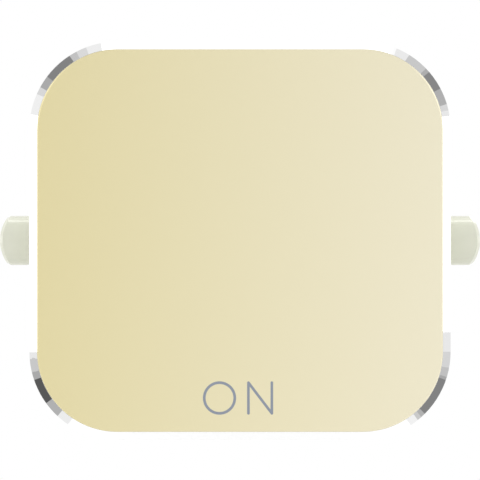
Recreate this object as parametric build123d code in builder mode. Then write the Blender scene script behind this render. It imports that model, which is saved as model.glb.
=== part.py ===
from build123d import *
import os
from math import radians, sin, cos, sqrt, tan

# Double-pole cooker switch: a rocker key with a metal face, snapped into its
# moulded housing, with the see-saw contacts and terminals behind it.
# Millimetres. X runs to the right, Z up, and the front looks along -Y.
# The origin is the middle of the seat, the rear face of the flange.
# Positions in depth are measured forward from the axis of the trunnions.

# key
key_width = 36.0
key_height = 34.0
key_corner = 7.5
key_front = 7.0
bevel = 0.65
rim_land = 0.01
plate_gap = 0.01
face_thickness = 0.8
face_edge = 0.1
face_proud = 0.05
film_thickness = 0.2
trim_depth = 2.1
front_wall = 1.6
skirt_wall = 1.2
skirt_inset = 0.4
skirt_drop = 1.8
flank_gap = 0.1
tab_radius = 3.2

# pivot
pivot_forward = 5.4
tilt = 5.0
trunnion_diameter = 4.25
trunnion_reach = 2.6
trunnion_crown = 3.6
trunnion_edge = 0.22
running = 0.05
web_wall = 1.6
web_half_height = 5.0
web_drop = 3.0
rib_wall = 1.2
cheek_wall = 2.2
cheek_play = 0.2
cheek_half_height = 4.2
cheek_lead = 0.6
entry_ratio = 0.9

# sprung plungers
plunger_diameter = 3.8
plunger_fit = 0.08
nose_clear = 1.2
plunger_nose = 1.2
nose_cone_angle = 60.0
plunger_shoulder = 5.0
pip_diameter = 2.2
pip_length = 1.5
plunger_stand = 3.5
tower_diameter = 6.0
bore_head = 3.0
spring_wire = 0.45
spring_play = 0.12
spring_turns = 4.0
spring_sides = 5

# front housing
housing_wall = 1.5
housing_ledge = 3.0
housing_corner = 5.5
side_gap = 0.7
side_rim = 1.0
stop_rim = 3.0
stop_half_width = 9.0
flange_thickness = 1.4
flange_inset = 0.8
flange_edge = 0.4
floor_thickness = 1.4
window_play = 0.8
window_half_height = 4.8
tongue_width = 8.0
tongue_slit = 0.8
tongue_gap = 1.2
tongue_clear = 0.2
tooth_height = 1.0
tooth_tip = 0.2
yoke_gap = 1.6
tooth_window_play = 0.4

# base
base_side_step = 1.7
base_end_step = 0.5
base_corner = 3.2
base_edge = 0.5
parting_edge = 0.2
base_wall = 1.6
pocket_side_wall = 3.4
barrier_wall = 2.0
rear_barrier = 1.2
vent_width = 0.8
vent_height = 3.6
vent_pitch = 1.8
vent_count = 4
vent_lag = 2.8
gauge_length = 10.0
gauge_width = 1.2
gauge_depth = 0.4
case_screw_edge = 5.1
case_screw_diameter = 2.2
case_screw_play = 0.2
case_screw_head = 4.2
case_screw_head_height = 1.4
head_edge = 0.4
cross_length = 2.4
cross_width = 0.6
cross_depth = 0.8
case_screw_grip = 4.6
head_sink = 0.6
end_play = 0.4
boss_wall = 1.2
collar_play = 0.3
collar_wall = 1.5
collar_height = 2.0

# terminals
block_inside = 2.6
block_height = 8.0
block_depth = 8.8
bore_diameter = 5.0
entry_diameter = 6.0
entry_flare = 0.7
screw_diameter = 3.5
screw_length = 5.0
screw_back_off = 0.05
screw_point = 0.4
slot_width = 0.7
slot_depth = 0.9
block_chamfer = 0.3

# contacts
fulcrum_depth = 13.2
chamber_rise = 4.2
swing = 9.0
arm_width = 6.0
arm_thickness = 1.0
arm_tail = 3.5
arm_wall_gap = 0.7
arm_slope = 14.4
arm_seat_gap = 0.1
arm_corner = 1.2
rivet_diameter = 1.5
rivet_head = 2.2
rivet_head_height = 0.3
notch_depth = 0.8
notch_half_height = 1.4
ear_half_height = 0.9
ear_rise = 1.6
ear_gap = 0.1
post_half_height = 1.5
strap_thickness = 1.0
strap_drop = 2.4
strap_end_gap = 0.4
load_strap_tail = 2.6
tip_diameter = 3.0
tip_thickness = 0.9
tip_edge = 0.25
moving_tip_edge = 1.6
tip_lag = 0.4
fixed_tip_dome = 4.0
tip_gap = 0.05

os.makedirs("parts", exist_ok=True)


def front_plane(depth, turn):
    # looks out of the wall, at a depth behind the trunnion axis, turned about X
    a = radians(turn)
    return Plane(
        origin=(0, -pivot_forward + depth, 0),
        x_dir=(1, 0, 0),
        z_dir=(0, -cos(a), -sin(a)),
    )


def side_plane(x, depth, turn):
    # looks along +X: its own X runs up the switch and its own Y runs forward
    a = radians(turn)
    return Plane(
        origin=(x, -pivot_forward + depth, 0),
        x_dir=(0, -sin(a), cos(a)),
        z_dir=(1, 0, 0),
    )


module = front_plane(0, 0)
key = front_plane(0, tilt)

# levels of the key, forward of the trunnion axis
platform_level = key_front - face_thickness - film_thickness
trim_back = key_front - trim_depth
wall_back = platform_level - front_wall
skirt_back = wall_back - skirt_drop
opening_width = key_width - 2 * (bevel + rim_land)
opening_height = key_height - 2 * (bevel + rim_land)
opening_corner = key_corner - bevel - rim_land
skirt_width = key_width - 2 * skirt_inset
skirt_corner = key_corner - skirt_inset
flank_radius = key_height / 2 - flank_gap
inside_half = skirt_width / 2 - skirt_wall
housing_width = 2 * (inside_half - side_gap)
housing_height = key_height - 2 * housing_ledge
base_width = housing_width - 2 * base_side_step
base_height = housing_height - 2 * base_end_step
case_screw_offset = base_height / 2 - case_screw_edge
arm_length = base_height / 2 - base_wall - arm_wall_gap
moving_tip_at = arm_length - moving_tip_edge
fixed_tip_at = moving_tip_at - tip_lag
block_width = base_width / 2 - pocket_side_wall - block_inside
pole_offset = block_inside + block_width / 2
plunger_reach = fulcrum_depth - nose_clear
tower_reach = plunger_reach - plunger_stand
cheek_inside = housing_width / 2 - cheek_wall
web_outside = cheek_inside - cheek_play
pivot_radius = trunnion_diameter / 2
bearing_radius = pivot_radius + running
tip_x = key_width / 2 + trunnion_reach
plunger_bore = plunger_diameter + 2 * plunger_fit

# metal face of the key
with BuildPart() as face_plate:
    with BuildSketch(key.offset(key_front - face_thickness)):
        RectangleRounded(
            opening_width - 2 * plate_gap,
            opening_height - 2 * plate_gap,
            opening_corner - plate_gap,
        )
    extrude(amount=face_thickness)
    front = face_plate.faces().sort_by(Axis(key.origin, key.z_dir))[-1]
    chamfer(front.edges(), length=face_edge, length2=face_proud, reference=front)
face_plate.part.label = "face_plate"
export_step(face_plate.part, "parts/face_plate.step")

# adhesive film that holds the face on the moulding
with BuildPart() as bonding_film:
    with BuildSketch(key.offset(platform_level)):
        RectangleRounded(
            opening_width - 2 * plate_gap,
            opening_height - 2 * plate_gap,
            opening_corner - plate_gap,
        )
    extrude(amount=film_thickness)
bonding_film.part.label = "bonding_film"
export_step(bonding_film.part, "parts/bonding_film.step")

# bright rim with its bevelled edge, round the face
with BuildPart() as bright_trim:
    with BuildSketch(key.offset(trim_back)):
        RectangleRounded(key_width, key_height, key_corner)
        RectangleRounded(opening_width, opening_height, opening_corner, mode=Mode.SUBTRACT)
    extrude(amount=trim_depth - face_proud)
    rim = bright_trim.faces().sort_by(Axis(key.origin, key.z_dir))[-1]
    chamfer(rim.outer_wire().edges(), length=bevel)
bright_trim.part.label = "bright_trim"
export_step(bright_trim.part, "parts/bright_trim.step")

# space inside the skirt of the rocker, with flanks curved about the pivot
with BuildPart() as skirt_inside:
    with BuildSketch(key.offset(skirt_back - 1)):
        RectangleRounded(
            2 * inside_half,
            key_height - 2 * (skirt_inset + skirt_wall),
            skirt_corner - skirt_wall,
        )
    extrude(amount=wall_back - skirt_back + 1)
    with BuildSketch(side_plane(-key_width, 0, tilt)):
        Circle(flank_radius - skirt_wall)
    extrude(amount=2 * key_width, mode=Mode.INTERSECT)

# trunnions: round stubs, crowned at the outer ends in the plane of the face
with BuildPart() as trunnions:
    for x in (-tip_x, web_outside - web_wall):
        with BuildSketch(side_plane(x, 0, tilt)):
            Circle(pivot_radius)
        extrude(amount=tip_x - web_outside + web_wall)
    with BuildSketch(key.offset(-pivot_radius)):
        SlotOverall(2 * tip_x, 2 * trunnion_crown)
    extrude(amount=2 * pivot_radius, mode=Mode.INTERSECT)
    ends = trunnions.edges().filter_by(lambda edge: abs(edge.center().X) > key_width / 2)
    chamfer(ends, length=trunnion_edge)

# rocker moulding: front wall, arced skirt, webs, plunger towers and trunnions
with BuildPart() as rocker:
    with BuildSketch(key.offset(skirt_back)):
        RectangleRounded(skirt_width, key_height, skirt_corner)
    extrude(amount=trim_back - skirt_back)
    with BuildSketch(side_plane(-key_width, 0, tilt)):
        Circle(flank_radius)
    extrude(amount=2 * key_width, mode=Mode.INTERSECT)
    with BuildSketch(key.offset(trim_back)):
        RectangleRounded(opening_width, opening_height, opening_corner)
    extrude(amount=platform_level - trim_back)
    add(skirt_inside.part, mode=Mode.SUBTRACT)
    for x in (-skirt_width / 2, inside_half):
        with BuildSketch(side_plane(x, 0, tilt)):
            Circle(tab_radius)
            with Locations((0, skirt_back / 2)):
                Rectangle(2 * tab_radius, skirt_back)
        extrude(amount=skirt_wall)
    for x in (-web_outside, web_outside - web_wall):
        with BuildSketch(side_plane(x, 0, tilt)):
            with Locations((0, (wall_back - web_drop) / 2)):
                RectangleRounded(2 * web_half_height, wall_back + web_drop, web_wall)
            with Locations((0, wall_back / 2)):
                Rectangle(2 * web_half_height, wall_back)
        extrude(amount=web_wall)
    with BuildSketch(side_plane(-web_outside, 0, tilt)):
        with Locations((0, (wall_back - pivot_radius) / 2)):
            Rectangle(rib_wall, wall_back + pivot_radius)
    extrude(amount=2 * web_outside)
    with BuildSketch(key.offset(-tower_reach)):
        with GridLocations(2 * pole_offset, 1, 2, 1):
            Circle(tower_diameter / 2)
    extrude(amount=tower_reach + wall_back)
    with BuildSketch(key.offset(-tower_reach)):
        with GridLocations(2 * pole_offset, 1, 2, 1):
            Circle(plunger_bore / 2)
    extrude(amount=tower_reach + bore_head, mode=Mode.SUBTRACT)
    add(trunnions.part)
rocker.part.label = "rocker"
export_step(rocker.part, "parts/rocker.step")

# plungers with their springs, one for each pole
nose_angle = radians(nose_cone_angle)
nose_centre = plunger_reach - plunger_nose
nose_edge = plunger_nose * sin(nose_angle)
nose_edge_depth = nose_centre + plunger_nose * cos(nose_angle)
cone_depth = nose_edge_depth - (plunger_diameter / 2 - nose_edge) * tan(nose_angle)
spring_radius = plunger_bore / 2 - spring_play - spring_wire / 2
spring_length = plunger_shoulder + bore_head - spring_wire
for side, name in ((-1, "left"), (1, "right")):
    bore_line = Axis(key.from_local_coords((side * pole_offset, 0, 0)), key.z_dir)
    plunger_section = Plane(
        origin=key.from_local_coords((side * pole_offset, 0, 0)),
        x_dir=(1, 0, 0),
        z_dir=key.y_dir * -1,
    )
    with BuildPart() as plunger:
        with BuildSketch(plunger_section):
            with BuildLine():
                CenterArc((0, -nose_centre), plunger_nose, -90, nose_cone_angle)
                Polyline(
                    (nose_edge, -nose_edge_depth),
                    (plunger_diameter / 2, -cone_depth),
                    (plunger_diameter / 2, -plunger_shoulder),
                    (pip_diameter / 2, -plunger_shoulder),
                    (pip_diameter / 2, pip_length - plunger_shoulder),
                    (0, pip_length - plunger_shoulder),
                    (0, -plunger_reach),
                )
            make_face()
        revolve(axis=bore_line)
    plunger.part.label = f"plunger_{name}"
    export_step(plunger.part, f"parts/plunger_{name}.step")

    spring_foot = key.from_local_coords(
        (side * pole_offset, 0, spring_wire / 2 - plunger_shoulder)
    )
    with BuildPart() as plunger_spring:
        with BuildLine():
            coil = Helix(
                pitch=spring_length / spring_turns,
                height=spring_length,
                radius=spring_radius,
                center=spring_foot,
                direction=key.z_dir,
            )
        with BuildSketch(Plane(origin=coil @ 0, z_dir=coil % 0)):
            RegularPolygon(spring_wire / 2, spring_sides)
        sweep(path=coil, is_frenet=True)
    plunger_spring.part.label = f"plunger_spring_{name}"
    export_step(plunger_spring.part, f"parts/plunger_spring_{name}.step")

# front housing: walls, flange, open bearings, floor with windows, snap tongues
flange_back = -pivot_forward
flange_front = flange_back + flange_thickness
floor_back = chamber_rise - fulcrum_depth
floor_front = floor_back + floor_thickness
inner_width = housing_width - 2 * housing_wall
inner_height = housing_height - 2 * housing_wall
inner_corner = housing_corner - housing_wall
wall_outer = housing_height / 2
wall_inner = wall_outer - housing_wall
stop_reach = stop_rim - side_rim
tooth_front = flange_back - yoke_gap
tongue_back = floor_back + tongue_clear
lead_half = bearing_radius + cheek_lead
with BuildPart() as front_housing:
    with BuildSketch(module.offset(floor_back)):
        RectangleRounded(housing_width, housing_height, housing_corner)
    extrude(amount=side_rim - floor_back)
    with BuildSketch(module.offset(flange_back)):
        RectangleRounded(
            key_width - 2 * flange_inset,
            key_height - 2 * flange_inset,
            key_corner - flange_inset,
        )
    extrude(amount=flange_thickness)
    flange_face = front_housing.faces().filter_by(Axis.Y).group_by(Axis.Y)[1][0]
    chamfer(flange_face.outer_wire().edges(), length=flange_edge)
    with BuildSketch(module.offset(floor_front)):
        RectangleRounded(inner_width, inner_height, inner_corner)
    extrude(amount=side_rim - floor_front, mode=Mode.SUBTRACT)
    # ledges above and below, which stop the tilting key
    with BuildSketch(module.offset(side_rim)):
        with GridLocations(1, 2 * wall_outer - housing_wall, 1, 2):
            Rectangle(2 * stop_half_width, housing_wall)
    extrude(amount=stop_reach)
    # bearing cheeks, open to the front so that the trunnions snap in
    for x in (-housing_width / 2, cheek_inside):
        with BuildSketch(side_plane(x, 0, 0)):
            with Locations((0, (side_rim + cheek_lead + floor_front) / 2)):
                Rectangle(2 * cheek_half_height, side_rim + cheek_lead - floor_front)
        extrude(amount=cheek_wall)
    with BuildSketch(side_plane(-housing_width / 2 - 1, 0, 0)):
        Circle(bearing_radius)
        with Locations((0, side_rim / 2)):
            Rectangle(2 * bearing_radius * entry_ratio, side_rim)
        with BuildLine():
            Polyline(
                (-bearing_radius * entry_ratio, side_rim - 0.01),
                (bearing_radius * entry_ratio, side_rim - 0.01),
                (lead_half, side_rim + cheek_lead),
                (-lead_half, side_rim + cheek_lead),
                close=True,
            )
        make_face()
    extrude(amount=housing_width + 2, mode=Mode.SUBTRACT)
    # windows for the plunger towers
    with BuildSketch(module.offset(floor_back)):
        with GridLocations(2 * pole_offset, 1, 2, 1):
            Rectangle(tower_diameter + 2 * window_play, 2 * window_half_height)
    extrude(amount=floor_thickness, mode=Mode.SUBTRACT)
    # bosses that the case screws bite into
    with BuildSketch(module.offset(floor_front)):
        with GridLocations(1, 2 * case_screw_offset, 1, 2):
            Circle(case_screw_diameter / 2 + boss_wall)
    extrude(amount=case_screw_grip)
    with BuildSketch(module.offset(floor_back)):
        with GridLocations(1, 2 * case_screw_offset, 1, 2):
            Circle(case_screw_diameter / 2)
    extrude(amount=case_screw_grip, mode=Mode.SUBTRACT)
    # snap tongues: cut free of the floor and of the wall on both sides
    with BuildSketch(module.offset(floor_back)):
        with GridLocations(1, 2 * wall_inner - tongue_gap, 1, 2):
            Rectangle(tongue_width + 2 * tongue_slit, tongue_gap)
    extrude(amount=floor_thickness, mode=Mode.SUBTRACT)
    with BuildSketch(module.offset(floor_back)):
        with GridLocations(tongue_width + tongue_slit, 2 * wall_outer - housing_wall, 2, 2):
            Rectangle(tongue_slit, housing_wall)
    extrude(amount=flange_back - floor_back, mode=Mode.SUBTRACT)
    with BuildSketch(module.offset(floor_back)):
        with GridLocations(1, 2 * wall_outer - housing_wall, 1, 2):
            Rectangle(tongue_width, housing_wall)
    extrude(amount=tongue_clear, mode=Mode.SUBTRACT)
    for up in (-1, 1):
        with BuildSketch(side_plane(-tongue_width / 2, 0, 0)):
            with BuildLine():
                Polyline(
                    (up * wall_outer, tooth_front),
                    (up * (wall_outer + tooth_height), tooth_front),
                    (up * (wall_outer + tooth_tip), tongue_back),
                    (up * wall_outer, tongue_back),
                    close=True,
                )
            make_face()
        extrude(amount=tongue_width)
    # openings in the flange, straight in front of the teeth
    tooth_window = tooth_height + tooth_window_play
    with BuildSketch(module.offset(flange_back)):
        with GridLocations(1, 2 * wall_outer + tooth_window, 1, 2):
            Rectangle(tongue_width + 2 * tooth_window_play, tooth_window)
    extrude(amount=flange_thickness, mode=Mode.SUBTRACT)
front_housing.part.label = "front_housing"
export_step(front_housing.part, "parts/front_housing.step")

# arc chamber: a frame round the contacts of both poles, with the barrier between them
strap_back = -fulcrum_depth - strap_drop - strap_thickness
pocket_back = strap_back - block_depth
base_back = pocket_back - base_wall
block_at = base_height / 2 - base_wall - block_height / 2
bore_level = (strap_back + pocket_back) / 2
head_seat = base_back + case_screw_head_height + head_sink
screw_hole = case_screw_diameter / 2 + case_screw_play
collar_hole = screw_diameter / 2 + collar_play
with BuildPart() as arc_chamber:
    with BuildSketch(module.offset(strap_back)):
        RectangleRounded(base_width, base_height, base_corner)
    extrude(amount=floor_back - strap_back)
    chamfer(arc_chamber.faces().sort_by(Axis.Y)[-1].edges(), length=parting_edge)
    with BuildSketch(module.offset(strap_back)):
        RectangleRounded(
            base_width - 2 * base_wall,
            base_height - 2 * base_wall,
            base_corner - base_wall,
        )
        Rectangle(barrier_wall, base_height, mode=Mode.SUBTRACT)
        with GridLocations(1, 2 * case_screw_offset, 1, 2):
            Circle(screw_hole + boss_wall, mode=Mode.SUBTRACT)
    extrude(amount=floor_back - strap_back, mode=Mode.SUBTRACT)
    with BuildSketch(module.offset(strap_back)):
        with GridLocations(1, 2 * case_screw_offset, 1, 2):
            Circle(screw_hole)
    extrude(amount=floor_back - strap_back, mode=Mode.SUBTRACT)
    # vents beside the contact tips, which let out the gas of the arc
    for x in (-base_width / 2, base_width / 2 - base_wall):
        with BuildSketch(side_plane(x, 0, 0)):
            with Locations((moving_tip_at - vent_lag, (floor_back + strap_back) / 2)):
                with GridLocations(vent_pitch, 1, vent_count, 1):
                    Rectangle(vent_width, vent_height)
        extrude(amount=base_wall, mode=Mode.SUBTRACT)
arc_chamber.part.label = "arc_chamber"
export_step(arc_chamber.part, "parts/arc_chamber.step")

# base: terminal pockets, funnels for the conductors and collars round the screws
with BuildPart() as base:
    with BuildSketch(module.offset(base_back)):
        RectangleRounded(base_width, base_height, base_corner)
    extrude(amount=strap_back - base_back)
    chamfer(base.faces().sort_by(Axis.Y)[-1].edges(), length=base_edge)
    chamfer(base.faces().sort_by(Axis.Y)[0].edges(), length=parting_edge)
    with BuildSketch(module.offset(pocket_back)):
        with GridLocations(2 * pole_offset, 2 * block_at, 2, 2):
            Rectangle(block_width, block_height)
    extrude(amount=block_depth, mode=Mode.SUBTRACT)
    # collars round the terminal screws, with a barrier between the poles
    recess_radius = case_screw_head / 2 + case_screw_play
    with BuildSketch(module.offset(base_back - collar_height)):
        with GridLocations(2 * pole_offset, 2 * block_at, 2, 2):
            Rectangle(2 * (collar_hole + collar_wall), 2 * (collar_hole + collar_wall))
        Rectangle(rear_barrier, 2 * (case_screw_offset - recess_radius - boss_wall))
    extrude(amount=collar_height)
    with BuildSketch(module.offset(base_back - collar_height)):
        with GridLocations(2 * pole_offset, 2 * block_at, 2, 2):
            Circle(collar_hole)
    extrude(amount=collar_height + base_wall, mode=Mode.SUBTRACT)
    with BuildSketch(module.offset(base_back)):
        with GridLocations(1, 2 * case_screw_offset, 1, 2):
            Circle(recess_radius)
    extrude(amount=head_seat - base_back, mode=Mode.SUBTRACT)
    with BuildSketch(module.offset(base_back)):
        with GridLocations(1, 2 * case_screw_offset, 1, 2):
            Circle(screw_hole)
    extrude(amount=strap_back - base_back, mode=Mode.SUBTRACT)
    entry_plane = Plane(
        origin=(0, -pivot_forward - bore_level, -base_height / 2),
        x_dir=(1, 0, 0),
        z_dir=(0, 0, 1),
    )
    with BuildSketch(entry_plane, entry_plane.offset(base_height - base_wall)):
        with GridLocations(2 * pole_offset, 1, 2, 1):
            Circle(entry_diameter / 2)
    extrude(amount=base_wall, mode=Mode.SUBTRACT)
    ends = base.faces().filter_by(Axis.Z)
    outer_ends = ends.group_by(Axis.Z)[0] + ends.group_by(Axis.Z)[-1]
    funnels = outer_ends.edges().filter_by(GeomType.CIRCLE)
    funnels = funnels.filter_by(lambda e: abs(e.radius - entry_diameter / 2) < 0.01)
    chamfer(funnels, length=entry_flare)
    # gauge for the stripped length of a conductor, a groove in both sides
    for x in (-base_width / 2, base_width / 2 - gauge_depth):
        with BuildSketch(side_plane(x, 0, 0)):
            with Locations((0, pocket_back + block_depth / 2)):
                Rectangle(gauge_length, gauge_width)
        extrude(amount=gauge_depth, mode=Mode.SUBTRACT)
base.part.label = "base"
export_step(base.part, "parts/base.step")

# screws that hold the base to the front housing
for up, name in ((-1, "lower"), (1, "upper")):
    with BuildPart() as case_screw:
        with BuildSketch(module.offset(head_seat - case_screw_head_height)):
            with Locations((0, up * case_screw_offset)):
                Circle(case_screw_head / 2)
        extrude(amount=case_screw_head_height)
        with BuildSketch(module.offset(head_seat)):
            with Locations((0, up * case_screw_offset)):
                Circle(case_screw_diameter / 2)
        extrude(amount=floor_back + case_screw_grip - head_seat - end_play)
        rear = case_screw.faces().sort_by(Axis.Y)[-1]
        chamfer(rear.edges(), length=head_edge)
        with BuildSketch(module.offset(head_seat - case_screw_head_height)):
            with Locations((0, up * case_screw_offset)):
                Rectangle(cross_length, cross_width)
                Rectangle(cross_width, cross_length)
        extrude(amount=cross_depth, mode=Mode.SUBTRACT)
    case_screw.part.label = f"case_screw_{name}"
    export_step(case_screw.part, f"parts/case_screw_{name}.step")

# terminals: a brass block with its clamping screw, two for each pole
screw_tip = bore_level - bore_diameter / 2 - screw_back_off
for side, hand in ((-1, "left"), (1, "right")):
    for up, duty in ((-1, "line"), (1, "load")):
        with BuildPart() as terminal_block:
            with BuildSketch(module.offset(pocket_back)):
                with Locations((side * pole_offset, up * block_at)):
                    Rectangle(block_width, block_height)
            extrude(amount=block_depth)
            chamfer(terminal_block.edges().filter_by(Axis.Y), length=block_chamfer)
            with BuildSketch(entry_plane):
                with Locations((side * pole_offset, 0)):
                    Circle(bore_diameter / 2)
            extrude(amount=base_height, mode=Mode.SUBTRACT)
            with BuildSketch(module.offset(pocket_back)):
                with Locations((side * pole_offset, up * block_at)):
                    Circle(screw_diameter / 2 + running)
            extrude(amount=bore_level - pocket_back, mode=Mode.SUBTRACT)
        terminal_block.part.label = f"terminal_{duty}_{hand}"
        export_step(terminal_block.part, f"parts/terminal_{duty}_{hand}.step")

        with BuildPart() as terminal_screw:
            with BuildSketch(module.offset(screw_tip - screw_length)):
                with Locations((side * pole_offset, up * block_at)):
                    Circle(screw_diameter / 2)
            extrude(amount=screw_length)
            chamfer(terminal_screw.faces().sort_by(Axis.Y)[0].edges(), length=screw_point)
            with BuildSketch(module.offset(screw_tip - screw_length)):
                with Locations((side * pole_offset, up * block_at)):
                    Rectangle(screw_diameter + 1, slot_width)
            extrude(amount=slot_depth, mode=Mode.SUBTRACT)
        terminal_screw.part.label = f"terminal_screw_{duty}_{hand}"
        export_step(terminal_screw.part, f"parts/terminal_screw_{duty}_{hand}.step")

# see-saw contacts, drawn in the closed position
strap_front = strap_back + strap_thickness
rise = tan(radians(arm_slope))
arm_front = arm_seat_gap + arm_thickness
arm_flat = arm_front + arm_tail * rise
strap_end = base_height / 2 - base_wall - strap_end_gap
a = radians(-swing)
tip_face = arm_flat - arm_thickness - tip_thickness
touch_y = moving_tip_at * cos(a) - tip_face * sin(a)
touch_z = moving_tip_at * sin(a) + tip_face * cos(a) - fulcrum_depth
lean = (fixed_tip_at - touch_y) * sin(a)
dome_centre = touch_z - (fixed_tip_dome + tip_gap - lean) / cos(a)
for side, hand in ((-1, "left"), (1, "right")):
    centre_x = side * pole_offset
    with BuildPart() as contact_arm:
        with BuildSketch(side_plane(centre_x - arm_width / 2, fulcrum_depth, -swing)):
            with BuildLine():
                Polyline(
                    (0, arm_front),
                    (arm_tail, arm_flat),
                    (arm_length, arm_flat),
                    (arm_length, arm_flat - arm_thickness),
                    (arm_tail, arm_flat - arm_thickness),
                    (0, arm_seat_gap),
                    (-arm_tail, arm_flat - arm_thickness),
                    (-arm_tail, arm_flat),
                    close=True,
                )
            make_face()
        extrude(amount=arm_width)
        with BuildSketch(front_plane(fulcrum_depth, -swing)):
            with Locations((centre_x, 0)):
                with GridLocations(arm_width, 1, 2, 1):
                    Rectangle(2 * notch_depth, 2 * notch_half_height)
        extrude(amount=arm_flat + 1, mode=Mode.SUBTRACT)
        with BuildSketch(front_plane(fulcrum_depth, -swing)):
            with Locations((centre_x, moving_tip_at)):
                Circle(rivet_diameter / 2)
        extrude(amount=arm_flat + 1, mode=Mode.SUBTRACT)
        with BuildSketch(front_plane(fulcrum_depth, -swing)):
            with Locations((centre_x, (arm_length - arm_tail) / 2)):
                RectangleRounded(arm_width, arm_length + arm_tail, arm_corner)
        extrude(amount=arm_flat + 1, mode=Mode.INTERSECT)
    contact_arm.part.label = f"contact_arm_{hand}"
    export_step(contact_arm.part, f"parts/contact_arm_{hand}.step")

    with BuildPart() as moving_tip:
        with BuildSketch(front_plane(fulcrum_depth, -swing).offset(tip_face)):
            with Locations((centre_x, moving_tip_at)):
                Circle(tip_diameter / 2)
        extrude(amount=tip_thickness)
        chamfer(moving_tip.faces().sort_by(Axis.Y)[-1].edges(), length=tip_edge)
        with BuildSketch(front_plane(fulcrum_depth, -swing).offset(arm_flat - arm_thickness)):
            with Locations((centre_x, moving_tip_at)):
                Circle(rivet_diameter / 2)
        extrude(amount=arm_thickness)
        with BuildSketch(front_plane(fulcrum_depth, -swing).offset(arm_flat)):
            with Locations((centre_x, moving_tip_at)):
                Circle(rivet_head / 2)
        extrude(amount=rivet_head_height)
    moving_tip.part.label = f"moving_tip_{hand}"
    export_step(moving_tip.part, f"parts/moving_tip_{hand}.step")

    with BuildPart() as fulcrum_strap:
        with BuildSketch(side_plane(centre_x - arm_width / 2, 0, 0)):
            with BuildLine():
                Polyline(
                    (-strap_end, strap_back),
                    (post_half_height, strap_back),
                    (post_half_height, -fulcrum_depth),
                    (-post_half_height, -fulcrum_depth),
                    (-post_half_height, strap_front),
                    (-strap_end, strap_front),
                    close=True,
                )
            make_face()
        extrude(amount=arm_width)
        with BuildSketch(module.offset(-fulcrum_depth)):
            with Locations((centre_x, 0)):
                with GridLocations(arm_width - notch_depth + ear_gap, 1, 2, 1):
                    Rectangle(notch_depth - ear_gap, 2 * ear_half_height)
        extrude(amount=ear_rise)
    fulcrum_strap.part.label = f"fulcrum_strap_{hand}"
    export_step(fulcrum_strap.part, f"parts/fulcrum_strap_{hand}.step")

    with BuildPart() as load_strap:
        with BuildSketch(module.offset(strap_back)):
            with Locations((centre_x, (strap_end + load_strap_tail) / 2)):
                RectangleRounded(arm_width, strap_end - load_strap_tail, 0.8)
        extrude(amount=strap_thickness)
    load_strap.part.label = f"load_strap_{hand}"
    export_step(load_strap.part, f"parts/load_strap_{hand}.step")

    fixed_section = Plane(
        origin=module.from_local_coords((centre_x, fixed_tip_at, 0)),
        x_dir=(1, 0, 0),
        z_dir=(0, 0, -1),
    )
    dome_edge = dome_centre + sqrt(fixed_tip_dome**2 - (tip_diameter / 2) ** 2)
    with BuildPart() as fixed_tip:
        with BuildSketch(fixed_section):
            with BuildLine():
                Polyline(
                    (0, dome_centre + fixed_tip_dome),
                    (0, strap_front),
                    (tip_diameter / 2, strap_front),
                    (tip_diameter / 2, dome_edge),
                )
                RadiusArc(
                    (tip_diameter / 2, dome_edge),
                    (0, dome_centre + fixed_tip_dome),
                    -fixed_tip_dome,
                )
            make_face()
        revolve(axis=Axis(fixed_section.origin, (0, 1, 0)))
    fixed_tip.part.label = f"fixed_tip_{hand}"
    export_step(fixed_tip.part, f"parts/fixed_tip_{hand}.step")
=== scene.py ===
from math import cos, pi, radians, sin

import bmesh
import bpy
from mathutils import Matrix, Vector


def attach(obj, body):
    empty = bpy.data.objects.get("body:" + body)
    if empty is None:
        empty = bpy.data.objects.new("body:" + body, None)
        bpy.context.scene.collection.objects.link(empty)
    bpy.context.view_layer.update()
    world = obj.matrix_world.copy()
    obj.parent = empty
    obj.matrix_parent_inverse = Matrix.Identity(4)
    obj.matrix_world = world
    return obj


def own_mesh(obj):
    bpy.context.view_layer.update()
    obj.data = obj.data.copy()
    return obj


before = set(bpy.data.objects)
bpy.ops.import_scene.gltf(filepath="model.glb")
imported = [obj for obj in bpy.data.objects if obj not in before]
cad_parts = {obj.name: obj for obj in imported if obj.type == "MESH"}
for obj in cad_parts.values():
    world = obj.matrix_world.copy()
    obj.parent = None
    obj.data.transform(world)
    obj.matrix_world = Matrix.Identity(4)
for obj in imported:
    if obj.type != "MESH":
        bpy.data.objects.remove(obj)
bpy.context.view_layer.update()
MM = 0.001

# The camera looks square at the key, which rests tilted with its lower edge pressed in,
# so it stands a little below the switch and looks up along the key's own normal.
TILT = radians(5)
PIVOT = Vector((0, -5.4 * MM, 0))
KEY_OUT = Vector((0, -cos(TILT), -sin(TILT)))
KEY_UP = Vector((0, -sin(TILT), cos(TILT)))
FACE_HEIGHT = 7.0 * MM
RIM_DEPTH = 0.6 * MM
FACE_CENTRE = PIVOT + FACE_HEIGHT * KEY_OUT
CAMERA_DISTANCE = 1.0
CAMERA_RISE = 0.045 * MM
VIEW_WIDTH = 41.02 * MM
SENSOR_WIDTH = 36
camera_data = bpy.data.cameras.new("camera")
camera_data.sensor_width = SENSOR_WIDTH
camera_data.lens = SENSOR_WIDTH * (CAMERA_DISTANCE + RIM_DEPTH) / VIEW_WIDTH
camera_data.clip_start = 0.05
camera_data.clip_end = 10
camera = bpy.data.objects.new("camera", camera_data)
camera.location = FACE_CENTRE + CAMERA_DISTANCE * KEY_OUT + CAMERA_RISE * KEY_UP
camera.rotation_euler = (pi / 2 + TILT, 0, 0)
bpy.context.scene.collection.objects.link(camera)
bpy.context.scene.camera = camera
bpy.context.scene.view_settings.view_transform = "Standard"


# Key face: thin aluminium sheet, satin-blasted and anodised in champagne. Its colour is painted
# lighter and paler towards the right, a painted sheen, and the blasting leaves a very fine, even
# grain.
FACE_HALF_WIDTH = 17.3 * MM


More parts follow.
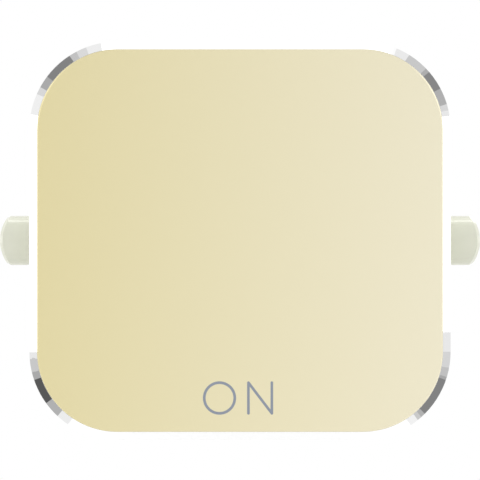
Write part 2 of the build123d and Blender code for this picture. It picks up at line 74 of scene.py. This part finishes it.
def shader_of(material_name):
    material = bpy.data.materials.new(material_name)
    material.use_nodes = True
    return material, material.node_tree, material.node_tree.nodes["Principled BSDF"]


def fine_grain(tree, shader, size, depth, roughness, spread):
    place = tree.nodes.new("ShaderNodeTexCoord")
    grain = tree.nodes.new("ShaderNodeTexNoise")
    grain.inputs["Scale"].default_value = 1 / size
    grain.inputs["Detail"].default_value = 3
    tree.links.new(place.outputs["Object"], grain.inputs["Vector"])
    bump = tree.nodes.new("ShaderNodeBump")
    bump.inputs["Strength"].default_value = 0.35
    bump.inputs["Distance"].default_value = depth
    tree.links.new(grain.outputs["Fac"], bump.inputs["Height"])
    tree.links.new(bump.outputs["Normal"], shader.inputs["Normal"])
    polish = tree.nodes.new("ShaderNodeMapRange")
    polish.inputs["To Min"].default_value = roughness - spread
    polish.inputs["To Max"].default_value = roughness + spread
    tree.links.new(grain.outputs["Fac"], polish.inputs["Value"])
    tree.links.new(polish.outputs["Result"], shader.inputs["Roughness"])
    return place, grain


def dress(node, material):
    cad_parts[node].data.materials.clear()
    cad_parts[node].data.materials.append(material)


champagne, tree, shader = shader_of("champagne_anodised")
shader.inputs["Metallic"].default_value = 1.0
place, grain = fine_grain(tree, shader, 0.12 * MM, 0.002 * MM, 0.36, 0.03)
across = tree.nodes.new("ShaderNodeSeparateXYZ")
tree.links.new(place.outputs["Object"], across.inputs["Vector"])
span = tree.nodes.new("ShaderNodeMapRange")
span.inputs["From Min"].default_value = -FACE_HALF_WIDTH
span.inputs["From Max"].default_value = FACE_HALF_WIDTH
tree.links.new(across.outputs["X"], span.inputs["Value"])
# Painted sheen: the ramp runs from the champagne colour at left to a lighter, paler tone at
# right.
champagne_and_sheen = tree.nodes.new("ShaderNodeValToRGB")
champagne_and_sheen.color_ramp.elements[0].color = (0.722, 0.647, 0.371, 1)
champagne_and_sheen.color_ramp.elements[1].color = (0.809, 0.758, 0.578, 1)
tree.links.new(span.outputs["Result"], champagne_and_sheen.inputs["Fac"])
tree.links.new(champagne_and_sheen.outputs["Color"], shader.inputs["Base Color"])
dress("face_plate", champagne)

# Adhesive film between the face and the moulding: a clear, slightly yellow layer of
# which only the cut edge can be seen, in the seam round the face.
film, tree, shader = shader_of("adhesive_film")
fine_grain(tree, shader, 0.2 * MM, 0.001 * MM, 0.3, 0.05)
shader.inputs["Base Color"].default_value = (0.60, 0.55, 0.40, 1)
dress("bonding_film", film)

# Rim of the key: a bright metal frame round the face, bevelled all the way round and
# polished until it mirrors the room. It sits on the rocker's front wall.
bright, tree, shader = shader_of("polished_rim")
shader.inputs["Metallic"].default_value = 1.0
shader.inputs["Base Color"].default_value = (0.98, 0.98, 0.98, 1)
fine_grain(tree, shader, 0.4 * MM, 0.00002 * MM, 0.022, 0.006)
dress("bright_trim", bright)

# Legend: thin grey print near the lower edge, in round-ended strokes of one width. The
# key is pressed in at this end, so it reads ON.
STROKE = 0.23 * MM
CAP_HEIGHT = 2.85 * MM
RING_CENTRE = -1.75 * MM
RING_HALF_WIDTH = 1.42 * MM
LETTER_LEFT = 0.72 * MM
LETTER_RIGHT = 2.72 * MM
LEGEND_HEIGHT = -13.45 * MM
INK_THICKNESS = 0.012 * MM


def inked(name, outline):
    up = bmesh.ops.extrude_face_region(outline, geom=outline.faces[:])
    raised = [g for g in up["geom"] if isinstance(g, bmesh.types.BMVert)]
    bmesh.ops.translate(outline, vec=(0, 0, INK_THICKNESS), verts=raised)
    bmesh.ops.recalc_face_normals(outline, faces=outline.faces[:])
    mesh = bpy.data.meshes.new(name)
    outline.to_mesh(mesh)
    outline.free()
    return mesh


def stroke_bar(name, start, end):
    run = Vector(end) - Vector(start)
    outline = bmesh.new()
    bmesh.ops.create_circle(outline, cap_ends=True, segments=24, radius=STROKE / 2)
    for v in outline.verts:
        if v.co.x > 0:
            v.co.x += run.length
    turn = Matrix.Rotation(run.angle_signed(Vector((1, 0))), 4, "Z")
    place = Matrix.Translation((*start, 0)) @ turn
    bmesh.ops.transform(outline, matrix=place, verts=outline.verts[:])
    return inked(name, outline)


def stroke_ring(name, centre, half_width, half_height):
    outline = bmesh.new()
    for inset in (0, STROKE):
        made = bmesh.ops.create_circle(outline, segments=72, radius=1)
        size = (half_width - inset, half_height - inset, 1)
        bmesh.ops.scale(outline, vec=size, verts=made["verts"])
        bmesh.ops.translate(outline, vec=(*centre, 0), verts=made["verts"])
    bmesh.ops.bridge_loops(outline, edges=outline.edges[:])
    return inked(name, outline)


reach = (CAP_HEIGHT - STROKE) / 2
strokes = [
    stroke_bar("stroke_left", (LETTER_LEFT, -reach), (LETTER_LEFT, reach)),
    stroke_bar("stroke_across", (LETTER_LEFT, reach), (LETTER_RIGHT, -reach)),
    stroke_bar("stroke_right", (LETTER_RIGHT, -reach), (LETTER_RIGHT, reach)),
]
letter = bpy.data.objects.new("letter", strokes[0])
bpy.context.scene.collection.objects.link(letter)
for mesh in strokes[1:]:
    arm = bpy.data.objects.new(mesh.name, mesh)
    bpy.context.scene.collection.objects.link(arm)
    union = letter.modifiers.new(mesh.name, "BOOLEAN")
    union.operation = "UNION"
    union.solver = "MANIFOLD"
    union.object = arm
joined = bpy.data.meshes.new_from_object(
    letter.evaluated_get(bpy.context.evaluated_depsgraph_get())
)
for done in [letter] + [union.object for union in letter.modifiers]:
    bpy.data.objects.remove(done)
bm = bmesh.new()
bm.from_mesh(joined)
bm.from_mesh(stroke_ring("ring", (RING_CENTRE, 0), RING_HALF_WIDTH, CAP_HEIGHT / 2))
on_face = Matrix((
    (1, KEY_UP.x, KEY_OUT.x, 0),
    (0, KEY_UP.y, KEY_OUT.y, 0),
    (0, KEY_UP.z, KEY_OUT.z, 0),
    (0, 0, 0, 1),
))
spot = Matrix.Translation(FACE_CENTRE + LEGEND_HEIGHT * KEY_UP)
bmesh.ops.transform(bm, matrix=spot @ on_face, verts=bm.verts[:])
legend_mesh = bpy.data.meshes.new("legend_on")
bm.to_mesh(legend_mesh)
bm.free()
legend = bpy.data.objects.new("legend_on", legend_mesh)
bpy.context.scene.collection.objects.link(legend)
ink, tree, shader = shader_of("grey_print")
fine_grain(tree, shader, 0.1 * MM, 0.001 * MM, 0.5, 0.08)
shader.inputs["Base Color"].default_value = (0.253, 0.286, 0.345, 1)
legend_mesh.materials.append(ink)
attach(legend, "key")


# Rocker: one injection moulding in glossy off-white plastic. Its trunnion ends stand out
# on both sides of the key; the skirt, webs and plunger towers are behind the face.
def moulded(material_name, colour, deeper, roughness, grain_size, grain_depth):
    material, tree, shader = shader_of(material_name)
    place, grain = fine_grain(
        tree, shader, grain_size, grain_depth, roughness, 0.1 * roughness
    )
    cloud = tree.nodes.new("ShaderNodeTexNoise")
    cloud.inputs["Scale"].default_value = 1 / (6 * MM)
    tree.links.new(place.outputs["Object"], cloud.inputs["Vector"])
    tint = tree.nodes.new("ShaderNodeValToRGB")
    tint.color_ramp.elements[0].position = 0.35
    tint.color_ramp.elements[0].color = (*deeper, 1)
    tint.color_ramp.elements[1].position = 0.65
    tint.color_ramp.elements[1].color = (*colour, 1)
    tree.links.new(cloud.outputs["Fac"], tint.inputs["Fac"])
    tree.links.new(tint.outputs["Color"], shader.inputs["Base Color"])
    return material, shader


ivory, shader = moulded(
    "ivory_moulding", (0.75, 0.757, 0.647), (0.735, 0.743, 0.634), 0.045, 0.5 * MM, 0.0003 * MM
)
shader.inputs["Specular IOR Level"].default_value = 0.38
dress("rocker", ivory)

# Plungers: small nylon pistons in the rocker's towers, natural milky white, rubbed
# smooth by the contact arms that their noses press on.
nylon, shader = moulded(
    "natural_nylon", (0.78, 0.76, 0.68), (0.70, 0.68, 0.60), 0.34, 0.3 * MM, 0.002 * MM
)
shader.inputs["Subsurface Weight"].default_value = 0.15
shader.inputs["Subsurface Radius"].default_value = (0.0006, 0.0005, 0.0004)
dress("plunger_left", nylon)
dress("plunger_right", nylon)


def metal(material_name, colour, deeper, roughness, spread, grain_size, grain_depth):
    material, tree, shader = shader_of(material_name)
    shader.inputs["Metallic"].default_value = 1.0
    place, grain = fine_grain(tree, shader, grain_size, grain_depth, roughness, spread)
    tint = tree.nodes.new("ShaderNodeValToRGB")
    tint.color_ramp.elements[0].position = 0.3
    tint.color_ramp.elements[0].color = (*deeper, 1)
    tint.color_ramp.elements[1].position = 0.7
    tint.color_ramp.elements[1].color = (*colour, 1)
    stain = tree.nodes.new("ShaderNodeTexNoise")
    stain.inputs["Scale"].default_value = 1 / (3 * MM)
    stain.inputs["Detail"].default_value = 4
    tree.links.new(place.outputs["Object"], stain.inputs["Vector"])
    tree.links.new(stain.outputs["Fac"], tint.inputs["Fac"])
    tree.links.new(tint.outputs["Color"], shader.inputs["Base Color"])
    return material


wire = metal(
    "spring_wire", (0.62, 0.62, 0.63), (0.48, 0.48, 0.50), 0.3, 0.06, 0.1 * MM, 0.001 * MM
)
for hand in ("left", "right"):
    dress("plunger_spring_" + hand, wire)
    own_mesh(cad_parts["plunger_spring_" + hand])

# Contact arms and straps: copper strip, stamped and bent, a little dulled by handling.
copper = metal(
    "stamped_copper", (0.80, 0.47, 0.29), (0.66, 0.34, 0.20), 0.3, 0.08, 0.15 * MM, 0.002 * MM
)
for node in ("contact_arm", "fulcrum_strap", "load_strap"):
    dress(node + "_left", copper)
    dress(node + "_right", copper)

# Contact tips: silver alloy buttons with rivet shanks, which are headed over behind the
# arms and straps. Their faces are softly worn where they meet.
silver = metal(
    "contact_silver", (0.88, 0.87, 0.84), (0.74, 0.73, 0.70), 0.26, 0.08, 0.2 * MM, 0.003 * MM
)
for node in ("moving_tip", "fixed_tip"):
    dress(node + "_left", silver)
    dress(node + "_right", silver)

# Front housing: off-white plastic moulding with a fine spark texture, which carries the
# key in its open bearings and snaps into the yoke.
white, _ = moulded(
    "white_moulding", (0.76, 0.76, 0.73), (0.72, 0.72, 0.69), 0.42, 0.12 * MM, 0.006 * MM
)
dress("front_housing", white)

# Arc chamber and base: charcoal thermoset with a finer grain, which stands up to arcs
# and heat, moulded as a frame round the contacts and a block behind it.
charcoal, _ = moulded(
    "charcoal_thermoset", (0.060, 0.061, 0.064), (0.045, 0.046, 0.048), 0.38, 0.1 * MM, 0.006 * MM
)
dress("arc_chamber", charcoal)
dress("base", charcoal)

# Terminals: sawn from drawn brass bar and drilled, in pockets of the base. A slotted
# screw of turned brass clamps the conductor in each.
block_brass = metal(
    "block_brass", (0.83, 0.64, 0.31), (0.70, 0.51, 0.22), 0.28, 0.08, 0.2 * MM, 0.003 * MM
)
screw_brass = metal(
    "screw_brass", (0.86, 0.69, 0.38), (0.74, 0.56, 0.27), 0.22, 0.06, 0.1 * MM, 0.002 * MM
)
for duty in ("line", "load"):
    for hand in ("left", "right"):
        dress(f"terminal_{duty}_{hand}", block_brass)
        dress(f"terminal_screw_{duty}_{hand}", screw_brass)

# Case screws: zinc-plated steel, sunk in recesses of the base. They bite into bosses of
# the front housing and hold the whole case together.
zinc = metal(
    "zinc_plate", (0.70, 0.71, 0.73), (0.56, 0.57, 0.59), 0.28, 0.08, 0.15 * MM, 0.002 * MM
)
dress("case_screw_lower", zinc)
dress("case_screw_upper", zinc)

# Studio: white air, soft lamps and a white floor, which shows from above only, so that a
# low camera looks past it. The floor keeps the switch's shadow near it, and is lifted to
# white further out.
FLOOR_LEVEL = -60 * MM
FLOOR_HALF_SIZE = 1.5
SHADOW_REACH = 0.10
WHITE_REACH = 0.50
SEEN_LIFT = 0.25
MIRRORED_LIFT = 0.155
bm = bmesh.new()
bmesh.ops.create_grid(bm, x_segments=1, y_segments=1, size=FLOOR_HALF_SIZE)
bmesh.ops.translate(bm, vec=(0, 0, FLOOR_LEVEL), verts=bm.verts[:])
floor_mesh = bpy.data.meshes.new("floor")
bm.to_mesh(floor_mesh)
bm.free()
floor = bpy.data.objects.new("floor", floor_mesh)
bpy.context.scene.collection.objects.link(floor)
floor_paint = bpy.data.materials.new("floor_paint")
floor_paint.use_nodes = True
tree = floor_paint.node_tree
paper = tree.nodes["Principled BSDF"]
paper.inputs["Base Color"].default_value = (0.83, 0.83, 0.83, 1)
paper.inputs["Roughness"].default_value = 0.9
paper.inputs["Emission Color"].default_value = (1, 1, 1, 1)
place = tree.nodes.new("ShaderNodeTexCoord")
away = tree.nodes.new("ShaderNodeVectorMath")
away.operation = "LENGTH"
tree.links.new(place.outputs["Object"], away.inputs["Vector"])
far = tree.nodes.new("ShaderNodeMapRange")
far.inputs["From Min"].default_value = SHADOW_REACH
far.inputs["From Max"].default_value = WHITE_REACH
far.inputs["To Max"].default_value = SEEN_LIFT
tree.links.new(away.outputs["Value"], far.inputs["Value"])
ray = tree.nodes.new("ShaderNodeLightPath")
seen = tree.nodes.new("ShaderNodeMath")
seen.operation = "MULTIPLY"
tree.links.new(ray.outputs["Is Camera Ray"], seen.inputs[0])
tree.links.new(far.outputs["Result"], seen.inputs[1])
lift = tree.nodes.new("ShaderNodeMath")
lift.operation = "MULTIPLY_ADD"
lift.inputs[1].default_value = MIRRORED_LIFT
tree.links.new(ray.outputs["Is Glossy Ray"], lift.inputs[0])
tree.links.new(seen.outputs["Value"], lift.inputs[2])
tree.links.new(lift.outputs["Value"], paper.inputs["Emission Strength"])
gone = tree.nodes.new("ShaderNodeBsdfTransparent")
side = tree.nodes.new("ShaderNodeNewGeometry")
pick = tree.nodes.new("ShaderNodeMixShader")
tree.links.new(side.outputs["Backfacing"], pick.inputs["Fac"])
tree.links.new(paper.outputs["BSDF"], pick.inputs[1])
tree.links.new(gone.outputs["BSDF"], pick.inputs[2])
tree.links.new(pick.outputs["Shader"], tree.nodes["Material Output"].inputs["Surface"])
floor_mesh.materials.append(floor_paint)

air = bpy.data.worlds.new("air")
bpy.context.scene.world = air
air.use_nodes = True
tree = air.node_tree
sky = tree.nodes["Background"]
sky.inputs["Color"].default_value = (1, 1, 1, 1)
ray = tree.nodes.new("ShaderNodeLightPath")
direct = tree.nodes.new("ShaderNodeMath")
direct.operation = "MAXIMUM"
tree.links.new(ray.outputs["Is Camera Ray"], direct.inputs[0])
tree.links.new(ray.outputs["Is Glossy Ray"], direct.inputs[1])
clear = tree.nodes.new("ShaderNodeMath")
clear.operation = "MAXIMUM"
tree.links.new(direct.outputs["Value"], clear.inputs[0])
tree.links.new(ray.outputs["Is Transmission Ray"], clear.inputs[1])
level = tree.nodes.new("ShaderNodeMapRange")
level.inputs["To Min"].default_value = 0.93
level.inputs["To Max"].default_value = 1.0
tree.links.new(clear.outputs["Value"], level.inputs["Value"])
tree.links.new(level.outputs["Result"], sky.inputs["Strength"])

for lamp_name, where, width, height, power in (
    ("lamp_above", (0.0, 0.12, 0.60), 0.50, 0.50, 0.6),
    ("lamp_top", (0.0, 0.07, 0.53), 0.14, 0.12, 0.17),
    ("lamp_left", (-0.50, -0.04, 0.0), 0.12, 0.45, 0.38),
    ("lamp_right", (0.50, -0.04, 0.0), 0.12, 0.45, 0.38),
    ("lamp_front_left", (-0.55, -0.55, 0.25), 0.35, 0.35, 0.3),
    ("lamp_front_right", (0.55, -0.55, 0.25), 0.35, 0.35, 0.3),
    ("lamp_back", (0.25, 0.60, 0.35), 0.35, 0.35, 0.7),
):
    lamp_data = bpy.data.lights.new(lamp_name, "AREA")
    lamp_data.shape = "RECTANGLE"
    lamp_data.size = width
    lamp_data.size_y = height
    lamp_data.energy = power
    lamp = bpy.data.objects.new(lamp_name, lamp_data)
    lamp.location = where
    lamp.rotation_mode = "QUATERNION"
    lamp.rotation_quaternion = Vector(where).to_track_quat("Z", "Y")
    bpy.context.scene.collection.objects.link(lamp)


# Cards: four curved sheets that glow in steps of grey, stood round the corners of the key in its
# own plane, as painted reflections for the polished rim to mirror. Only mirrors see them: they
# cast no shade.
KEY_HALF_WIDTH = 18 * MM
KEY_HALF_HEIGHT = 17 * MM
CORNER_RADIUS = 7.5 * MM
CARD_RADIUS = 42 * MM
CARD_HALF_HEIGHT = 4 * MM


def corner_card(card_name, side, end, start_angle, first_break, steps):
    centre = FACE_CENTRE + Vector((side * (KEY_HALF_WIDTH - CORNER_RADIUS), 0, 0))
    centre += end * (KEY_HALF_HEIGHT - CORNER_RADIUS) * KEY_UP
    card = bpy.data.meshes.new(card_name)
    sheet = bmesh.new()
    angle = start_angle + first_break
    for number, (width, grey) in enumerate(steps):
        turn = radians(angle)
        out = CARD_RADIUS * (cos(turn) * Vector((1, 0, 0)) + sin(turn) * KEY_UP)
        low = sheet.verts.new(centre + out - CARD_HALF_HEIGHT * KEY_OUT)
        high = sheet.verts.new(centre + out + CARD_HALF_HEIGHT * KEY_OUT)
        edge = sheet.edges.new((low, high))
        old = set(sheet.faces)
        bmesh.ops.spin(
            sheet, geom=[low, high, edge], cent=centre, axis=KEY_OUT,
            angle=radians(width), steps=6,
        )
        for face in set(sheet.faces) - old:
            face.material_index = number
        paint = bpy.data.materials.new(f"{card_name}_{number}")
        paint.use_nodes = True
        glow = paint.node_tree.nodes.new("ShaderNodeEmission")
        glow.inputs["Color"].default_value = (grey, grey, grey, 1)
        paint.node_tree.links.new(
            glow.outputs["Emission"], paint.node_tree.nodes["Material Output"].inputs["Surface"]
        )
        card.materials.append(paint)
        angle += width
    sheet.to_mesh(card)
    sheet.free()
    stand = bpy.data.objects.new(card_name, card)
    bpy.context.scene.collection.objects.link(stand)
    stand.visible_camera = False
    stand.visible_diffuse = False
    stand.visible_shadow = False
    stand.visible_transmission = False


# Steps of painted reflection: width in degrees and glow level of each.
corner_card("card_upper_right", 1, 1, 0, 9, (
    (4, 0.82), (4, 0.70), (11, 0.44), (13, 0.25), (3, 0.43), (14, 0.59), (9, 0.84),
))
corner_card("card_upper_left", -1, 1, 90, 11, (
    (10, 0.87), (7, 0.71), (5, 0.55), (20, 0.23), (8, 0.41), (5, 0.70), (14, 0.88),
))
corner_card("card_lower_left", -1, -1, 180, 1, (
    (4, 0.82), (9, 0.59), (5, 0.41), (17, 0.10), (11, 0.45), (9, 0.86),
))
corner_card("card_lower_right", 1, -1, 270, 33, (
    (6, 0.90), (3, 0.60), (3, 0.45), (26, 0.23), (2, 0.40), (6, 0.54), (10, 0.67), (3, 0.82),
))
